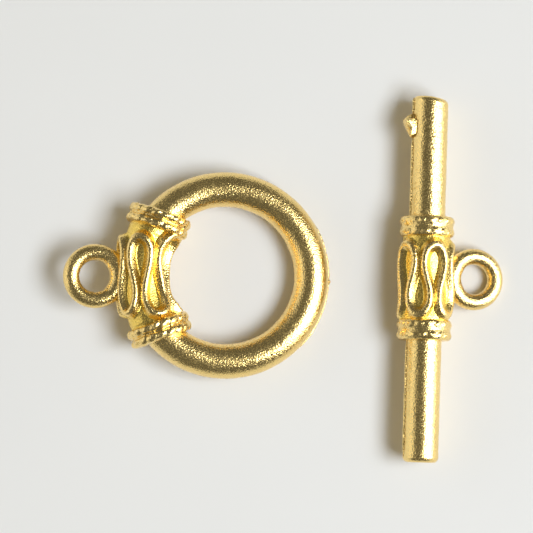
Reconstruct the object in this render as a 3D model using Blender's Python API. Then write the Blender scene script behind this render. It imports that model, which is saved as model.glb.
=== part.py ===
"""Toggle clasp in two castings, a ring half and a bar half, lying apart as they rest.

The scene is in metres, +Z is up. Each half is made flat round its own centre with
its sizes in millimetres, which gives the unions room to work, is fused into one
closed solid and brought to metres. Then it is tilted to the way it lies and set
down on the floor at Z = 0.
"""
import math

import bmesh
import bpy
from mathutils import Matrix, Vector

METRES_PER_MM = 0.001

# Ring half: the hoop and the eye
HOOP_DIAMETER = 12.93
HOOP_WIRE = 2.17
RING_EYE_DIAMETER = 4.00
RING_EYE_HOLE = 1.97
RING_EYE_OVERLAP = 0.76

# Ring half: the worked section between the two collars
SECTION_BOW = 1.03
BOW_POWER = 2.7
COLLAR_REACH = math.radians(39.4)
RING_COLLAR_LEAN = math.radians(20)
RING_COLLAR_DIAMETER = 4.04
RING_COLLAR_WIDTH = 1.20
# in collar widths from the collar's middle, where the neck and the hoop end
NECK_END = 0.72
HOOP_END = 1.05
RING_NECK_DIAMETER = 2.86
RING_MEANDER_LENGTH = 5.20
RING_WAIST_DIAMETER = 3.42
RING_FLARE_DIAMETER = 3.88
RING_LOOPS = 5
RING_LOOP_START = math.radians(-10)

# Bar half
BAR_LENGTH = 22.90
BAR_DIAMETER = 2.22
BAR_END_ROUND = 0.32
BAR_END_SLANT = math.radians(7)
BAR_COLLAR_DIAMETER = 3.47
BAR_COLLAR_WIDTH = 1.28
BAR_COLLAR_SPACING = 6.44
BAR_NECK_DIAMETER = 2.96
BAR_MEANDER_LENGTH = 4.80
BAR_MEANDER_DIAMETER = 3.66
BAR_MEANDER_SHIFT = -0.12
BAR_MEANDER_DROP = 0.06
BAR_LOOPS = 5
BAR_LOOP_START = math.radians(1.5)
BAR_EYE_DIAMETER = 3.86
BAR_EYE_HOLE = 1.88
BAR_EYE_REACH = 3.18
BAR_EYE_SHIFT = 0.10

# Raised line of both meanders
RIDGE_WIDTH = 0.42
RIDGE_HEIGHT = 0.40
RIDGE_SINK = 0.34
LOOP_TURN = math.radians(112)

# Rope of the collars
ROPE_BEADS = 22
ROPE_TWIST = 0.22
ROPE_THICKNESS = 0.74
# share of a bead by which the second cord's bumps start later, and how full a cord fills its half
CORD_LAG = 0.45
CORD_FILL = 0.98
# the band under the cords, as a share of the collar, and its edges as a share of the band
RING_BAND_SHARE = 0.85
BAR_BAND_SHARE = 0.93
BAND_EDGE_SHARE = 0.86

# Marks of the mould
SEAM_HEIGHT = 0.15
SEAM_THICKNESS = 0.16
SEAM_FROM = math.radians(-37)
SEAM_TO = math.radians(25)
NUB_HEIGHT = 0.62
NUB_LENGTH = 1.45
NUB_THICKNESS = 0.95
NUB_PLACE = 9.60
# each row of the nub: share of its height, length and thickness, and its shift along in lengths
NUB_ROWS = ((-0.5, 1.0, 1.0, 0.0), (0.35, 0.86, 0.9, 0.0), (0.8, 0.5, 0.6, 0.12), (1.0, 0.2, 0.3, 0.16))

# How the halves lie
HALVES_SPACING = 12.48
BAR_BEHIND = -0.22
RING_TURN = math.radians(0.7)
BAR_TURN = math.radians(-1.9)

# Facets
HOOP_STEPS = 40
HOOP_SIDES = 14
SECTION_STEPS = 7
EYE_STEPS = 22
EYE_SIDES = 10
LOOP_STEPS = 26
RIDGE_SIDES = 6
ROPE_STEPS_PER_BEAD = 3
ROPE_SIDES = 6
BAR_SIDES = 16
BAR_END_STEPS = 3
SEAM_STEPS = 12
BAR_SEAM_STEPS = 4
NUB_SIDES = 8
LINE_STEPS_PER_POINT = 8
STATION_ROUNDS = 12

# Worked out from the sizes above
hoop_wire_radius = HOOP_WIRE / 2
hoop_radius = HOOP_DIAMETER / 2 - hoop_wire_radius
ring_collar_radius = RING_COLLAR_DIAMETER / 2
collar_x = -hoop_radius * math.cos(COLLAR_REACH)
collar_y = hoop_radius * math.sin(COLLAR_REACH)
section_middle_x = collar_x - SECTION_BOW
ring_waist_radius = RING_WAIST_DIAMETER / 2
ring_eye_wire_radius = (RING_EYE_DIAMETER - RING_EYE_HOLE) / 4
ring_eye_radius = RING_EYE_DIAMETER / 2 - ring_eye_wire_radius
bar_radius = BAR_DIAMETER / 2
bar_eye_wire_radius = (BAR_EYE_DIAMETER - BAR_EYE_HOLE) / 4
bar_eye_radius = BAR_EYE_DIAMETER / 2 - bar_eye_wire_radius
bar_meander_radius = BAR_MEANDER_DIAMETER / 2
seam_root = SEAM_THICKNESS * 1.5


def gold_material(name):
    """Polished gold plate, the same on both halves."""
    material = bpy.data.materials.new(name)
    material.use_nodes = True
    shader = material.node_tree.nodes["Principled BSDF"]
    shader.inputs["Base Color"].default_value = (0.83, 0.55, 0.17, 1.0)
    shader.inputs["Metallic"].default_value = 1.0
    shader.inputs["Roughness"].default_value = 0.18
    return material


def skin_rings(name, rings, closed):
    """A closed solid through a row of rings that all have the same number of points."""
    mesh = bpy.data.meshes.new(name)
    work = bmesh.new()
    rows = [[work.verts.new(point) for point in ring] for ring in rings]
    last = len(rows) if closed else len(rows) - 1
    sides = len(rows[0])
    for row in range(last):
        here = rows[row]
        there = rows[(row + 1) % len(rows)]
        for side in range(sides):
            after = (side + 1) % sides
            work.faces.new((here[side], here[after], there[after], there[side]))
    if not closed:
        work.faces.new(rows[0])
        work.faces.new(rows[-1])
    bmesh.ops.recalc_face_normals(work, faces=work.faces)
    work.to_mesh(mesh)
    work.free()
    solid = bpy.data.objects.new(name, mesh)
    bpy.context.scene.collection.objects.link(solid)
    return solid


def circle_ring(centre, outward, upward, radius, sides):
    """Points round a circle in the plane of two given directions."""
    points = []
    for side in range(sides):
        angle = math.tau * (side + 0.5) / sides
        points.append(centre + outward * (radius * math.cos(angle)) + upward * (radius * math.sin(angle)))
    return points


def torus(name, centre, radius, wire_radius, steps, sides):
    """A round ring lying in the XY plane."""
    rings = []
    for step in range(steps):
        angle = math.tau * step / steps
        outward = Vector((math.cos(angle), math.sin(angle), 0))
        place = centre + outward * radius
        rings.append(circle_ring(place, outward, Vector((0, 0, 1)), wire_radius, sides))
    return skin_rings(name, rings, True)


def rope_ring(name, axes, radius, wire, shift):
    """A twisted cord laid in a ring: two strands whose bumps lean round it.

    axes holds the ring's centre, its axis and a direction in its plane. wire holds
    half the cord's height and half its width. shift is the share of a bead by
    which the bumps start later.
    """
    centre, axis, start = axes
    half_height, half_width = wire
    side_way = axis.cross(start)
    steps = ROPE_BEADS * ROPE_STEPS_PER_BEAD
    rings = []
    for step in range(steps):
        angle = math.tau * step / steps
        outward = start * math.cos(angle) + side_way * math.sin(angle)
        ring = []
        for side in range(ROPE_SIDES):
            turn = math.tau * (side + 0.5) / ROPE_SIDES
            bump = 1 + ROPE_TWIST * math.cos(2 * turn - ROPE_BEADS * angle + math.tau * shift)
            place = outward * (radius + half_height * bump * math.cos(turn))
            ring.append(centre + place + axis * (half_width * bump * math.sin(turn)))
        rings.append(ring)
    return skin_rings(name, rings, True)


def collar_ropes(name, axes, diameter, width):
    """Two cords side by side, which make one collar."""
    centre, axis, start = axes
    wire_width = width / 4 / (1 + ROPE_TWIST) * CORD_FILL
    wire_height = ROPE_THICKNESS / 2
    cords = []
    for side in (-1, 1):
        place = centre + axis * (side * width / 4)
        cord_name = f"{name}_{'low' if side < 0 else 'high'}"
        radius = diameter / 2 - wire_height * (1 + ROPE_TWIST / 2)
        shift = CORD_LAG if side > 0 else 0.0
        cords.append(rope_ring(cord_name, (place, axis, start), radius, (wire_height, wire_width), shift))
    return cords


def meander_curve(loops, loop_start, length, steps):
    """The middle of the raised line, as pairs of angle round and distance along.

    The line's heading swings like a pendulum, which gives the bulbous loops.
    """
    rise = 0.0
    across = 0.0
    points = []
    count = steps * LINE_STEPS_PER_POINT
    for small in range(count):
        if small % LINE_STEPS_PER_POINT == 0:
            points.append((across, rise))
        heading = LOOP_TURN * math.cos(math.tau * (small + 0.5) / count)
        across += math.cos(heading)
        rise += math.sin(heading)
    heights = [point[1] for point in points]
    middle = (max(heights) + min(heights)) / 2
    reach = max(heights) - min(heights)
    crest = heights.index(max(heights))
    round_scale = math.tau / loops / across
    along_scale = (length - RIDGE_WIDTH) / reach
    curve = []
    for loop in range(loops):
        for place, height in points:
            angle = (place - points[crest][0]) * round_scale + loop * math.tau / loops + loop_start
            curve.append((angle, (height - middle) * along_scale))
    return curve


def meander_ridge(name, curve, surface):
    """The raised line as a closed cord on a surface.

    surface turns an angle, a distance along and a height into a point.
    """
    count = len(curve)
    rings = []
    for index in range(count):
        angle, along = curve[index]
        angle_before, along_before = curve[index - 1]
        angle_after, along_after = curve[(index + 1) % count]
        if index == 0:
            angle_before -= math.tau
        if index == count - 1:
            angle_after += math.tau
        here = surface(angle, along, 0)
        outward = (surface(angle, along, 1) - here).normalized()
        heading = surface(angle_after, along_after, 0) - surface(angle_before, along_before, 0)
        sideways = heading.cross(outward).normalized()
        ring = []
        for side in range(RIDGE_SIDES):
            turn = math.tau * side / RIDGE_SIDES
            lift = math.cos(turn) * (RIDGE_HEIGHT if math.cos(turn) > 0 else RIDGE_SINK)
            ring.append(here + outward * lift + sideways * (RIDGE_WIDTH / 2 * math.sin(turn)))
        rings.append(ring)
    return skin_rings(name, rings, True)


def fuse(name, base, others):
    """One solid from several that overlap, brought from millimetres to metres."""
    for other in others:
        union = base.modifiers.new(other.name, "BOOLEAN")
        union.operation = "UNION"
        union.solver = "EXACT"
        union.object = other
        bpy.context.view_layer.update()
        evaluated = base.evaluated_get(bpy.context.evaluated_depsgraph_get())
        fused = bpy.data.meshes.new_from_object(evaluated)
        base.modifiers.clear()
        old = base.data
        base.data = fused
        bpy.data.meshes.remove(old)
        bpy.data.objects.remove(other)
    base.data.transform(Matrix.Scale(METRES_PER_MM, 4))
    base.name = name
    return base


def between(value, low, high):
    """0 below low, 1 above high, eased between."""
    share = min(1.0, max(0.0, (value - low) / (high - low)))
    return share * share * (3 - 2 * share)


# Ring half


def ring_crest_radius(along):
    """Radius of the meander's crest, waisted at the middle and flared at both ends."""
    share = min(1.0, abs(along) / (RING_MEANDER_LENGTH / 2))
    return ring_waist_radius + (RING_FLARE_DIAMETER / 2 - ring_waist_radius) * share ** 2


def ring_core_radius(along):
    """Radius of the section's core, from the meander's floor to the neck."""
    floor_radius = ring_waist_radius - RIDGE_HEIGHT
    share = min(1.0, abs(along) / (RING_MEANDER_LENGTH / 2))
    return floor_radius + (RING_NECK_DIAMETER / 2 - floor_radius) * share ** 2


def section_shift(along):
    """How far the section's axis has come back from its bowed middle."""
    return SECTION_BOW * (abs(along) / collar_y) ** BOW_POWER


def section_point(along):
    """Centre and outward direction of the section's bowed axis, at a distance along the hoop's chord."""
    slope = math.copysign(BOW_POWER * section_shift(along) / max(abs(along), RIDGE_WIDTH), along)
    forward = Vector((slope, 1, 0)).normalized()
    return Vector((section_middle_x + section_shift(along), along, 0)), Vector((-forward.y, forward.x, 0))


def ring_meander_surface(angle, along, height):
    """A point above the section's surface. Angle 0 is on top and grows towards the hoop's middle.

    The loops stay upright on the bowed section: each point is looked for straight out
    from the section's middle, so its angle and its station both change with the bow.
    """
    across = ring_waist_radius * math.sin(angle) - section_shift(along)
    turned = math.atan2(across, ring_waist_radius * math.cos(angle))
    station = along
    for _ in range(STATION_ROUNDS):
        _, outward = section_point(station)
        station = along + ring_crest_radius(station) * math.sin(turned) * outward.y
    centre, outward = section_point(station)
    radial = outward * -math.sin(turned) + Vector((0, 0, math.cos(turned)))
    return centre + radial * (ring_crest_radius(station) - RIDGE_HEIGHT + height)


def ring_collar_axes(side):
    """Centre, axis and a start direction of the collar at one end of the section."""
    centre = Vector((collar_x, side * collar_y, 0))
    axis = Vector((side * math.sin(RING_COLLAR_LEAN), math.cos(RING_COLLAR_LEAN), 0))
    return centre, axis, Vector((0, 0, 1))


def ring_body():
    """The closed loop of metal: the hoop, the two collar bands, the necks and the core."""
    stations = []
    neck_end = collar_y - RING_COLLAR_WIDTH * NECK_END
    for step in range(-SECTION_STEPS, SECTION_STEPS + 1):
        along = neck_end * step / SECTION_STEPS
        centre, outward = section_point(along)
        stations.append((centre, outward, ring_core_radius(along)))
    band_radius = ring_collar_radius * RING_BAND_SHARE
    upper_band = collar_stations(1, band_radius)
    hoop = []
    start = math.pi - COLLAR_REACH - RING_COLLAR_WIDTH * HOOP_END / hoop_radius
    for step in range(HOOP_STEPS + 1):
        angle = start - 2 * start * step / HOOP_STEPS
        outward = Vector((math.cos(angle), math.sin(angle), 0))
        hoop.append((outward * hoop_radius, outward, hoop_wire_radius))
    lower_band = collar_stations(-1, band_radius)
    rings = []
    for centre, outward, radius in stations + upper_band + hoop + lower_band:
        rings.append(circle_ring(centre, outward, Vector((0, 0, 1)), radius, HOOP_SIDES))
    return skin_rings("ring_body", rings, True)


def collar_stations(side, band_radius):
    """Stations of the band that carries a collar's cords, in the order round the loop."""
    centre, axis, _ = ring_collar_axes(side)
    outward = Vector((0, 0, 1)).cross(axis)
    stations = []
    for share in (-0.5 * side, -0.3 * side, 0.3 * side):
        radius = band_radius if abs(share) < 0.5 else band_radius * BAND_EDGE_SHARE
        stations.append((centre + axis * (share * RING_COLLAR_WIDTH), outward, radius))
    if side < 0:
        stations.reverse()
    return stations


def ring_seam():
    """The thin line of flash round the outside of the hoop."""
    rings = []
    for step in range(SEAM_STEPS + 1):
        share = step / SEAM_STEPS
        angle = SEAM_FROM + (SEAM_TO - SEAM_FROM) * share
        outward = Vector((math.cos(angle), math.sin(angle), 0))
        ends = min(1.0, 6 * share, 6 * (1 - share)) - 0.25
        tip = hoop_radius + hoop_wire_radius + SEAM_HEIGHT * ends
        root = hoop_radius + hoop_wire_radius - seam_root
        rise = Vector((0, 0, SEAM_THICKNESS / 2))
        edge = outward * (tip - SEAM_THICKNESS / 4)
        foot = outward * root
        rings.append([foot - rise, edge - rise / 2, outward * tip, edge + rise / 2, foot + rise])
    return skin_rings("ring_seam", rings, False)


def make_ring_half():
    """The ring half, flat round the hoop's middle, with the eye towards -X."""
    body = ring_body()
    eye_x = section_middle_x - ring_waist_radius - RING_EYE_DIAMETER / 2 + RING_EYE_OVERLAP
    eye_centre = Vector((eye_x, 0, 0))
    eye = torus("ring_eye", eye_centre, ring_eye_radius, ring_eye_wire_radius, EYE_STEPS, EYE_SIDES)
    curve = meander_curve(RING_LOOPS, RING_LOOP_START, RING_MEANDER_LENGTH, LOOP_STEPS)
    parts = [eye, ring_seam()]
    for side in (-1, 1):
        name = "ring_collar_high" if side > 0 else "ring_collar_low"
        parts += collar_ropes(name, ring_collar_axes(side), RING_COLLAR_DIAMETER, RING_COLLAR_WIDTH)
    parts.append(meander_ridge("ring_meander", curve, ring_meander_surface))
    return fuse("toggle_ring", body, parts)


# Bar half


def bar_meander_surface(angle, along, height):
    """A point above the bar's worked section. Angle 0 is on top and grows towards the eye."""
    ends = BAR_MEANDER_DROP * (abs(along) / (BAR_MEANDER_LENGTH / 2)) ** 4
    radius = bar_meander_radius - RIDGE_HEIGHT - ends + height
    return Vector((radius * math.sin(angle), along + BAR_MEANDER_SHIFT, radius * math.cos(angle)))


def bar_collar_axes(side):
    """Centre, axis and a start direction of the bar's collar on one side."""
    return Vector((0, side * BAR_COLLAR_SPACING / 2, 0)), Vector((0, 1, 0)), Vector((0, 0, 1))


def bar_body():
    """The turned bar: two round ends, two collar bands and the core of the worked section."""
    floor_radius = bar_meander_radius - RIDGE_HEIGHT
    neck_radius = BAR_NECK_DIAMETER / 2
    band_radius = BAR_COLLAR_DIAMETER / 2 * BAR_BAND_SHARE
    inner = BAR_COLLAR_SPACING / 2 - BAR_COLLAR_WIDTH / 2
    outer = BAR_COLLAR_SPACING / 2 + BAR_COLLAR_WIDTH / 2
    edge = BAR_COLLAR_WIDTH * 0.12
    profile = [(0, floor_radius), (BAR_MEANDER_LENGTH * 0.36, floor_radius)]
    profile += [(inner - edge / 2, neck_radius), (inner, band_radius - edge / 2)]
    profile += [(inner + edge, band_radius), (outer - edge, band_radius)]
    profile += [(outer, band_radius - edge / 2), (outer + edge / 2, bar_radius * 1.08)]
    profile += [(outer + edge * 2, bar_radius)]
    for step in range(BAR_END_STEPS + 1):
        turn = math.pi / 2 * step / BAR_END_STEPS
        along = BAR_LENGTH / 2 - BAR_END_ROUND + BAR_END_ROUND * math.sin(turn)
        profile.append((along, bar_radius - BAR_END_ROUND + BAR_END_ROUND * math.cos(turn)))
    stations = [(-along, radius) for along, radius in reversed(profile[1:])] + profile
    rings = []
    for along, radius in stations:
        slant = math.tan(BAR_END_SLANT) * between(along, outer + edge * 2, BAR_LENGTH / 2 - BAR_END_ROUND)
        ring = []
        for side in range(BAR_SIDES):
            angle = math.tau * (side + 0.5) / BAR_SIDES
            across = radius * math.sin(angle)
            ring.append(Vector((across, along - (across + bar_radius) * slant, radius * math.cos(angle))))
        rings.append(ring)
    return skin_rings("bar_body", rings, False)


def bar_seam(side):
    """The thin line of flash along one end of the bar, on the side away from the eye."""
    start = BAR_COLLAR_SPACING / 2 + BAR_COLLAR_WIDTH * 0.4
    end = NUB_PLACE - NUB_LENGTH / 2 if side > 0 else BAR_LENGTH / 2 - BAR_END_ROUND
    rise = Vector((0, 0, SEAM_THICKNESS / 2))
    rings = []
    for step in range(BAR_SEAM_STEPS + 1):
        share = step / BAR_SEAM_STEPS
        tip = bar_radius + SEAM_HEIGHT * (0.55 if step in (0, BAR_SEAM_STEPS) else 1)
        along = Vector((0, side * (start + (end - start) * share), 0))
        root = along - Vector((bar_radius - seam_root, 0, 0))
        edge = along - Vector((tip - SEAM_THICKNESS / 4, 0, 0))
        outmost = along - Vector((tip, 0, 0))
        rings.append([root - rise, edge - rise / 2, outmost, edge + rise / 2, root + rise])
    return skin_rings(f"bar_seam_{'north' if side > 0 else 'south'}", rings, False)


def sprue_nub():
    """The broken stub where the casting was cut from its runner."""
    rings = []
    for height, length, thickness, shift in NUB_ROWS:
        ring = []
        for side in range(NUB_SIDES):
            angle = math.tau * side / NUB_SIDES
            along = NUB_PLACE + NUB_LENGTH * (shift + length / 2 * math.cos(angle))
            across = -(bar_radius + NUB_HEIGHT * height)
            ring.append(Vector((across, along, NUB_THICKNESS / 2 * thickness * math.sin(angle))))
        rings.append(ring)
    return skin_rings("bar_nub", rings, False)


def make_bar_half():
    """The bar half, flat round its own middle, with the bar along Y and the eye towards +X."""
    body = bar_body()
    eye_centre = Vector((BAR_EYE_REACH, BAR_EYE_SHIFT, 0))
    eye = torus("bar_eye", eye_centre, bar_eye_radius, bar_eye_wire_radius, EYE_STEPS, EYE_SIDES)
    curve = meander_curve(BAR_LOOPS, BAR_LOOP_START, BAR_MEANDER_LENGTH, LOOP_STEPS)
    parts = [eye, bar_seam(-1), bar_seam(1), sprue_nub()]
    for side in (-1, 1):
        name = "bar_collar_high" if side > 0 else "bar_collar_low"
        parts += collar_ropes(name, bar_collar_axes(side), BAR_COLLAR_DIAMETER, BAR_COLLAR_WIDTH)
    parts.append(meander_ridge("bar_meander", curve, bar_meander_surface))
    return fuse("toggle_bar", body, parts)


# Setting down


def corners(half):
    """Smallest and largest corner of a placed half, from its points."""
    bpy.context.view_layer.update()
    points = [half.matrix_world @ vertex.co for vertex in half.data.vertices]
    low = Vector([min(point[axis] for point in points) for axis in range(3)])
    high = Vector([max(point[axis] for point in points) for axis in range(3)])
    return low, high


def lay_down(half, place, lean, turn):
    """Leans a half about Y, turns it about Z and lowers it until it touches the floor."""
    half.rotation_euler = (Matrix.Rotation(turn, 3, "Z") @ Matrix.Rotation(lean, 3, "Y")).to_euler()
    half.location = place * METRES_PER_MM
    half.location.z -= corners(half)[0].z


def main():
    for old in list(bpy.data.objects):
        bpy.data.objects.remove(old)
    ring = make_ring_half()
    bar = make_bar_half()
    # the hoop dips until it and both collars touch the floor, and the bar rolls onto its eye
    ring_lean = math.asin((ring_collar_radius - hoop_wire_radius) / (hoop_radius - collar_x))
    bar_lean = math.asin((bar_meander_radius - bar_eye_wire_radius) / (BAR_EYE_REACH + bar_eye_radius))
    lay_down(ring, Vector((0, 0, 0)), ring_lean, RING_TURN)
    lay_down(bar, Vector((HALVES_SPACING, BAR_BEHIND, 0)), bar_lean, BAR_TURN)
    ring_low, ring_high = corners(ring)
    bar_low, bar_high = corners(bar)
    shift_x = (min(ring_low.x, bar_low.x) + max(ring_high.x, bar_high.x)) / 2
    shift_y = (min(ring_low.y, bar_low.y) + max(ring_high.y, bar_high.y)) / 2
    for half in (ring, bar):
        half.location -= Vector((shift_x, shift_y, 0))
        half.data.materials.clear()
        half.data.materials.append(gold_material(f"{half.name}_gold"))
        half.data.shade_smooth()
        half.data.set_sharp_from_angle(angle=math.radians(40))
        place = [round(value, 6) for value in half.location]
        print(half.name, len(half.data.polygons), "faces, location", place)


main()
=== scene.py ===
# %% [markdown]
# # A toggle clasp, cast and gold plated
#
# The clasp is two small castings that lie apart on a pale table: a ring half and a bar half.
# Each carries a worked section with a raised meander between two rope collars, and a small
# eye for the strand. The CAD model says where everything is, so the first cell loads it as a
# fixed frame.

# %% Load the frame
import math

import bmesh
import bpy
from mathutils import Matrix, Vector


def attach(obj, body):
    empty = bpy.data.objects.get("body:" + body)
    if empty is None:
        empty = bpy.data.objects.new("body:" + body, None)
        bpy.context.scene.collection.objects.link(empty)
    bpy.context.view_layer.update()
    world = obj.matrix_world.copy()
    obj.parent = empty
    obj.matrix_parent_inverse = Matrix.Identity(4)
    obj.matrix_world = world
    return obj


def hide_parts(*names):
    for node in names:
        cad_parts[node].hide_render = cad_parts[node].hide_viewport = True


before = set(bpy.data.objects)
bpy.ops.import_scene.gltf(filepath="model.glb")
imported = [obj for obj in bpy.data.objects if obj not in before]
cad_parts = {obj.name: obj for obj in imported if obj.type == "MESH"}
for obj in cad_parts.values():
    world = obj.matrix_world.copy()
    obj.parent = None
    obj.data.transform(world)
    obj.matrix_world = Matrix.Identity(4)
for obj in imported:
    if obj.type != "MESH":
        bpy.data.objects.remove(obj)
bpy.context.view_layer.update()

MM_PER_METRE = 1000


# %% [markdown]
# ## The camera
#
# The photograph looks almost straight down, from far enough away that the two halves show
# hardly any perspective. A long lens a hand's length above the table gives that. The lens is
# worked out from how many picture points one millimetre takes up, which is easier to measure
# in a picture than a focal length is.

# %% Camera
PICTURE_WIDTH = 533
SENSOR_WIDTH = 36.0
POINTS_PER_MM = 16.0
CAMERA_DISTANCE = 0.180
CAMERA_ELEVATION = math.radians(86)
CAMERA_TARGET = Vector((-0.0011, 0.0008, 0.0015))


def add_object(name, data):
    """An object for a mesh, a lamp or a camera, linked to the scene."""
    made = bpy.data.objects.new(name, data)
    bpy.context.scene.collection.objects.link(made)
    return made


camera_data = bpy.data.cameras.new("camera")
camera_data.sensor_width = SENSOR_WIDTH
camera_data.lens = SENSOR_WIDTH * POINTS_PER_MM * CAMERA_DISTANCE * MM_PER_METRE / PICTURE_WIDTH
camera_data.clip_start = 0.001
camera = add_object("camera", camera_data)
towards_camera = Vector((0, -math.cos(CAMERA_ELEVATION), math.sin(CAMERA_ELEVATION)))
camera.location = CAMERA_TARGET + towards_camera * CAMERA_DISTANCE
camera.rotation_euler = (math.pi / 2 - CAMERA_ELEVATION, 0, 0)
bpy.context.scene.camera = camera
print("lens", round(camera_data.lens, 1), "mm")

# %% [markdown]
# ## One helper for every node
#
# Materials and Geometry Nodes trees are both made of nodes that are added, set up and
# linked. One small function does all three, so a tree reads as a list of what each node
# takes in.

# %% Add a node
def add_node(tree, kind, inputs=None, **settings):
    """Adds a node and sets it up. Each input is a value or another node's output."""
    made = tree.nodes.new(kind)
    for name, value in settings.items():
        setattr(made, name, value)
    for place, value in (inputs or {}).items():
        if isinstance(value, bpy.types.NodeSocket):
            tree.links.new(value, made.inputs[place])
        else:
            made.inputs[place].default_value = value
    return made


def linear(code):
    """An sRGB hex colour as the linear colour that Blender works in."""
    shares = [int(code[place:place + 2], 16) / 255 for place in (1, 3, 5)]
    light = [s / 12.92 if s <= 0.04045 else ((s + 0.055) / 1.055) ** 2.4 for s in shares]
    return (*light, 1.0)


print("middle grey #808080 is", round(linear("#808080")[0], 3), "in linear light")

# %% [markdown]
# ## Gold plate over a cast and tumbled skin
#
# The real finish is a thin gold plate on a zinc alloy casting. The casting keeps the fine
# grain of its mould, tumbling softens it, and the plate copies what is left. To the eye this
# is bright gold whose reflections have ragged, sparkling edges, and not a mirror. Grains of
# 0.08 mm are drawn as a shallow bump. That is a little over one picture point, so each one
# can catch the light by itself, where finer grain would only blur the gloss. Pits of about
# the same size are drawn in the roughness alone: they scatter a little light into the dark
# reflections, which gives those their fine speckle. Larger, shallow dents let the long
# highlights wander, and the gloss itself is patchy. Tumbling can't reach the hollows of the
# meander, so they stay duller. They are also painted a deeper yellow, which is painted
# bounce light: it stands in for the light that the gold walls throw at each other. The
# colour elsewhere is that of yellow gold, a shade lighter in patches.

# %% Sizes and gloss of the plate
METRES_PER_MM = 0.001
# how wide the spots of each pattern are and how high its bumps, in millimetres
GRAIN_SIZE = 0.08
GRAIN_HEIGHT = 0.021
DENT_SIZE = 0.55
DENT_HEIGHT = 0.012
PIT_SIZE = 0.075
PATCH_SIZE = 1.6
RUBBED_ROUGHNESS = 0.12
WORN_ROUGHNESS = 0.18
# the roughness that the pits and the hollows add
PIT_ROUGHNESS = 0.23
HOLLOW_ROUGHNESS = 0.09
# between which values of its noise a pattern goes from none to full
PATCH_SPAN = (0.35, 0.65)
PIT_SPAN = (0.48, 0.62)


def per_metre(size_in_mm):
    """The scale of a noise pattern whose spots are this many millimetres wide."""
    return 1 / (size_in_mm * METRES_PER_MM)


print("one grain is", round(GRAIN_SIZE * POINTS_PER_MM, 2), "picture points wide")

# %% Gold plate
def gold_plate_material(name):
    """Gold plate over a grainy casting: bright, with sparkling edges to every reflection."""
    material = bpy.data.materials.new(name)
    material.use_nodes = True
    tree = material.node_tree
    tree.nodes.clear()
    place = add_node(tree, "ShaderNodeTexCoord").outputs["Object"]
    recess = add_node(tree, "ShaderNodeAttribute", attribute_name="recess")
    patches = add_node(tree, "ShaderNodeTexNoise", {
        "Vector": place, "Scale": per_metre(PATCH_SIZE), "Detail": 3.0})

    # two near tones of gold in patches, and a deeper yellow in the hollows, which is painted
    # bounce light
    rubbed = add_node(tree, "ShaderNodeMix", {
        0: patches.outputs["Fac"], 6: linear("#f7d88b"), 7: linear("#fddd91")}, data_type="RGBA")
    colour = add_node(tree, "ShaderNodeMix", {
        0: recess.outputs["Fac"], 6: rubbed.outputs[2], 7: linear("#fad86f")}, data_type="RGBA")

    # the gloss is worn in patches, and the hollows and pits add their roughness to it
    worn = add_node(tree, "ShaderNodeMapRange", {
        "Value": patches.outputs["Fac"], "From Min": PATCH_SPAN[0], "From Max": PATCH_SPAN[1],
        "To Min": RUBBED_ROUGHNESS, "To Max": WORN_ROUGHNESS})
    sheltered = add_node(tree, "ShaderNodeMath", {
        0: recess.outputs["Fac"], 1: HOLLOW_ROUGHNESS, 2: worn.outputs["Result"]},
        operation="MULTIPLY_ADD")
    spots = add_node(tree, "ShaderNodeTexNoise", {
        "Vector": place, "Scale": per_metre(PIT_SIZE), "Detail": 1.0})
    pits = add_node(tree, "ShaderNodeMapRange", {
        "Value": spots.outputs["Fac"], "From Min": PIT_SPAN[0], "From Max": PIT_SPAN[1]})
    gloss = add_node(tree, "ShaderNodeMath", {
        0: pits.outputs["Result"], 1: PIT_ROUGHNESS, 2: sheltered.outputs[0]},
        operation="MULTIPLY_ADD")

    # the dents come first and the grain lies on top of them
    dents = add_node(tree, "ShaderNodeTexNoise", {
        "Vector": place, "Scale": per_metre(DENT_SIZE), "Detail": 0.0})
    waves = add_node(tree, "ShaderNodeBump", {
        "Height": dents.outputs["Fac"], "Strength": 1.0,
        "Distance": DENT_HEIGHT * METRES_PER_MM})
    grain = add_node(tree, "ShaderNodeTexNoise", {
        "Vector": place, "Scale": per_metre(GRAIN_SIZE), "Detail": 0.0})
    bump = add_node(tree, "ShaderNodeBump", {
        "Height": grain.outputs["Fac"], "Strength": 1.0,
        "Distance": GRAIN_HEIGHT * METRES_PER_MM, "Normal": waves.outputs["Normal"]})
    shader = add_node(tree, "ShaderNodeBsdfPrincipled", {
        "Base Color": colour.outputs[2], "Metallic": 1.0, "Roughness": gloss.outputs[0],
        "Normal": bump.outputs["Normal"]})
    add_node(tree, "ShaderNodeOutputMaterial", {"Surface": shader.outputs["BSDF"]})
    return material


gold = gold_plate_material("gold_plate_on_casting")
print("material", gold.name, "with", len(gold.node_tree.nodes), "nodes")

# %% [markdown]
# ## Sweeping a wire along a path
#
# The hoop, both eyes, the bar and the thin line of mould flash are all round sections that
# follow a path. Such a form could be a curve object with a bevel, but then its thickness
# would be awkward to change along the way. Here a row of points carries the thickness as an
# attribute, and Geometry Nodes turn the row into a curve, sweep a circle along it and close
# its ends. All of it is worked out in millimetres and brought to metres at the very end,
# because Blender's remesher has too little room in thousandths of a metre.

# %% A path, and what every tree starts and ends with
def path_object(name, points, closed=False, **values):
    """A row of joined points. Each value, such as the thickness, is a number for every point."""
    mesh = bpy.data.meshes.new(name)
    edges = [(place, place + 1) for place in range(len(points) - 1)]
    if closed:
        edges.append((len(points) - 1, 0))
    mesh.from_pydata([tuple(point) for point in points], edges, [])
    for key, numbers in values.items():
        mesh.attributes.new(key, "FLOAT", "POINT").data.foreach_set("value", numbers)
    return add_object(name, mesh)


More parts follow.
